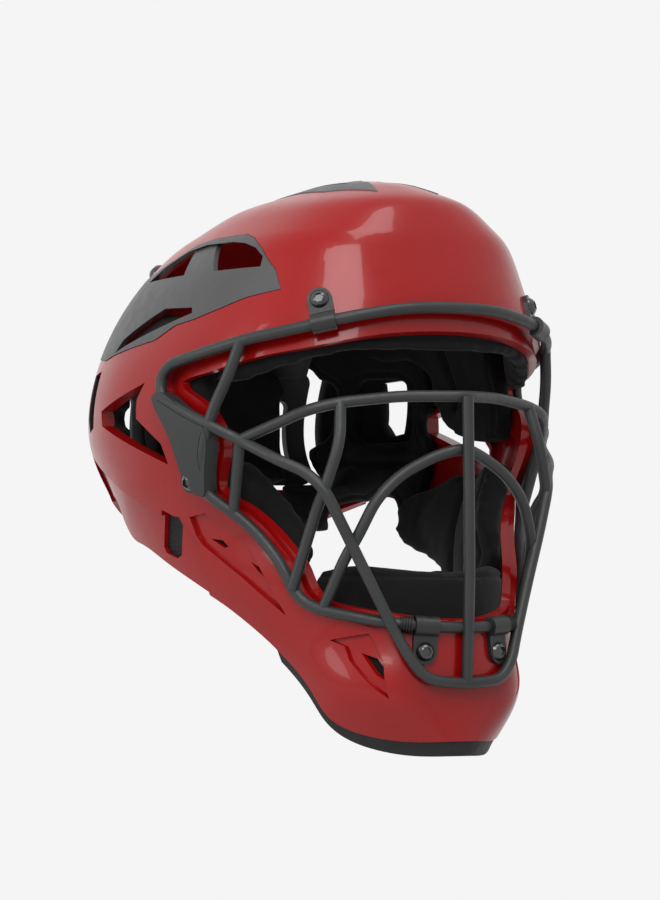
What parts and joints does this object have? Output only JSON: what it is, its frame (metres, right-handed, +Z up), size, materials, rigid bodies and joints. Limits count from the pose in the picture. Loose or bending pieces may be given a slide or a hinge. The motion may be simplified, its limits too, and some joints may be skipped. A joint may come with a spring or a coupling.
{
  "type": "catcher helmet",
  "caption": "Hard vented shell with a welded wire face cage, screwed clips, inner pads and a sprung rear fit panel; worn on the head.",
  "frame": {"origin": "centre of the head space, on the mid-plane, over the ear line, at the height of the ear vents", "axes": "+Z up, through the crown; -Y out of the face opening; +X to the wearer's left"},
  "size_m": [0.2356, 0.2892, 0.3027],
  "materials": {
    "shell": "moulded red plastic, satin above and glossy below the brow",
    "cage": "welded steel wire, satin black coat",
    "insert": "moulded grey plastic, fine texture",
    "strap_clip": "bent steel strap, black coat",
    "side_clip": "moulded dark grey plastic",
    "screw": "domed socket screw, black",
    "nut": "plated barrel nut",
    "sleeve": "ribbed rubber",
    "edge_rubber": "extruded rubber edge",
    "pad": "foam cushion in black knitted fabric",
    "panel": "moulded black plastic",
    "webbing": "woven black strap"
  },
  "bodies": {
    "shell": {"outer_shell": "shell", "face_cage": "cage", "side_vent_insert_left": "insert", "side_vent_insert_right": "insert", "crown_vent_insert": "insert", "top_clip_left": "strap_clip", "top_clip_right": "strap_clip", "chin_clip_left": "strap_clip", "chin_clip_right": "strap_clip", "side_clip_left": "side_clip", "side_clip_right": "side_clip", "top_screw_left": "screw", "top_screw_right": "screw", "side_screw_left": "screw", "side_screw_right": "screw", "chin_screw_left": "screw", "chin_screw_right": "screw", "rear_bolt_left": "screw", "rear_bolt_right": "screw", "top_nut_left": "nut", "top_nut_right": "nut", "side_nut_left": "nut", "side_nut_right": "nut", "chin_nut_left": "nut", "chin_nut_right": "nut", "rear_nut_left": "nut", "rear_nut_right": "nut", "rim_sleeve_left": "sleeve", "rim_sleeve_right": "sleeve", "chin_trim": "edge_rubber", "temple_pad_left": "pad", "temple_pad_right": "pad", "jaw_pad_left": "pad", "jaw_pad_right": "pad", "rear_pad_left": "pad", "rear_pad_right": "pad", "brow_pad": "pad", "chin_pad": "pad", "crown_pad": "pad", "wing_strap_left": "webbing", "wing_strap_right": "webbing"},
    "rear_panel": {"rear_panel": "panel", "panel_stud_left": "panel", "panel_stud_right": "panel", "rear_panel_pad": "pad"}
  },
  "joints": [
    {"name": "rear_panel_slide", "type": "slide", "parent": "shell", "child": "rear_panel", "axis": [0, 1, 0], "range_m": [0, 0.008], "stiffness_N_per_m": 400}
  ]
}
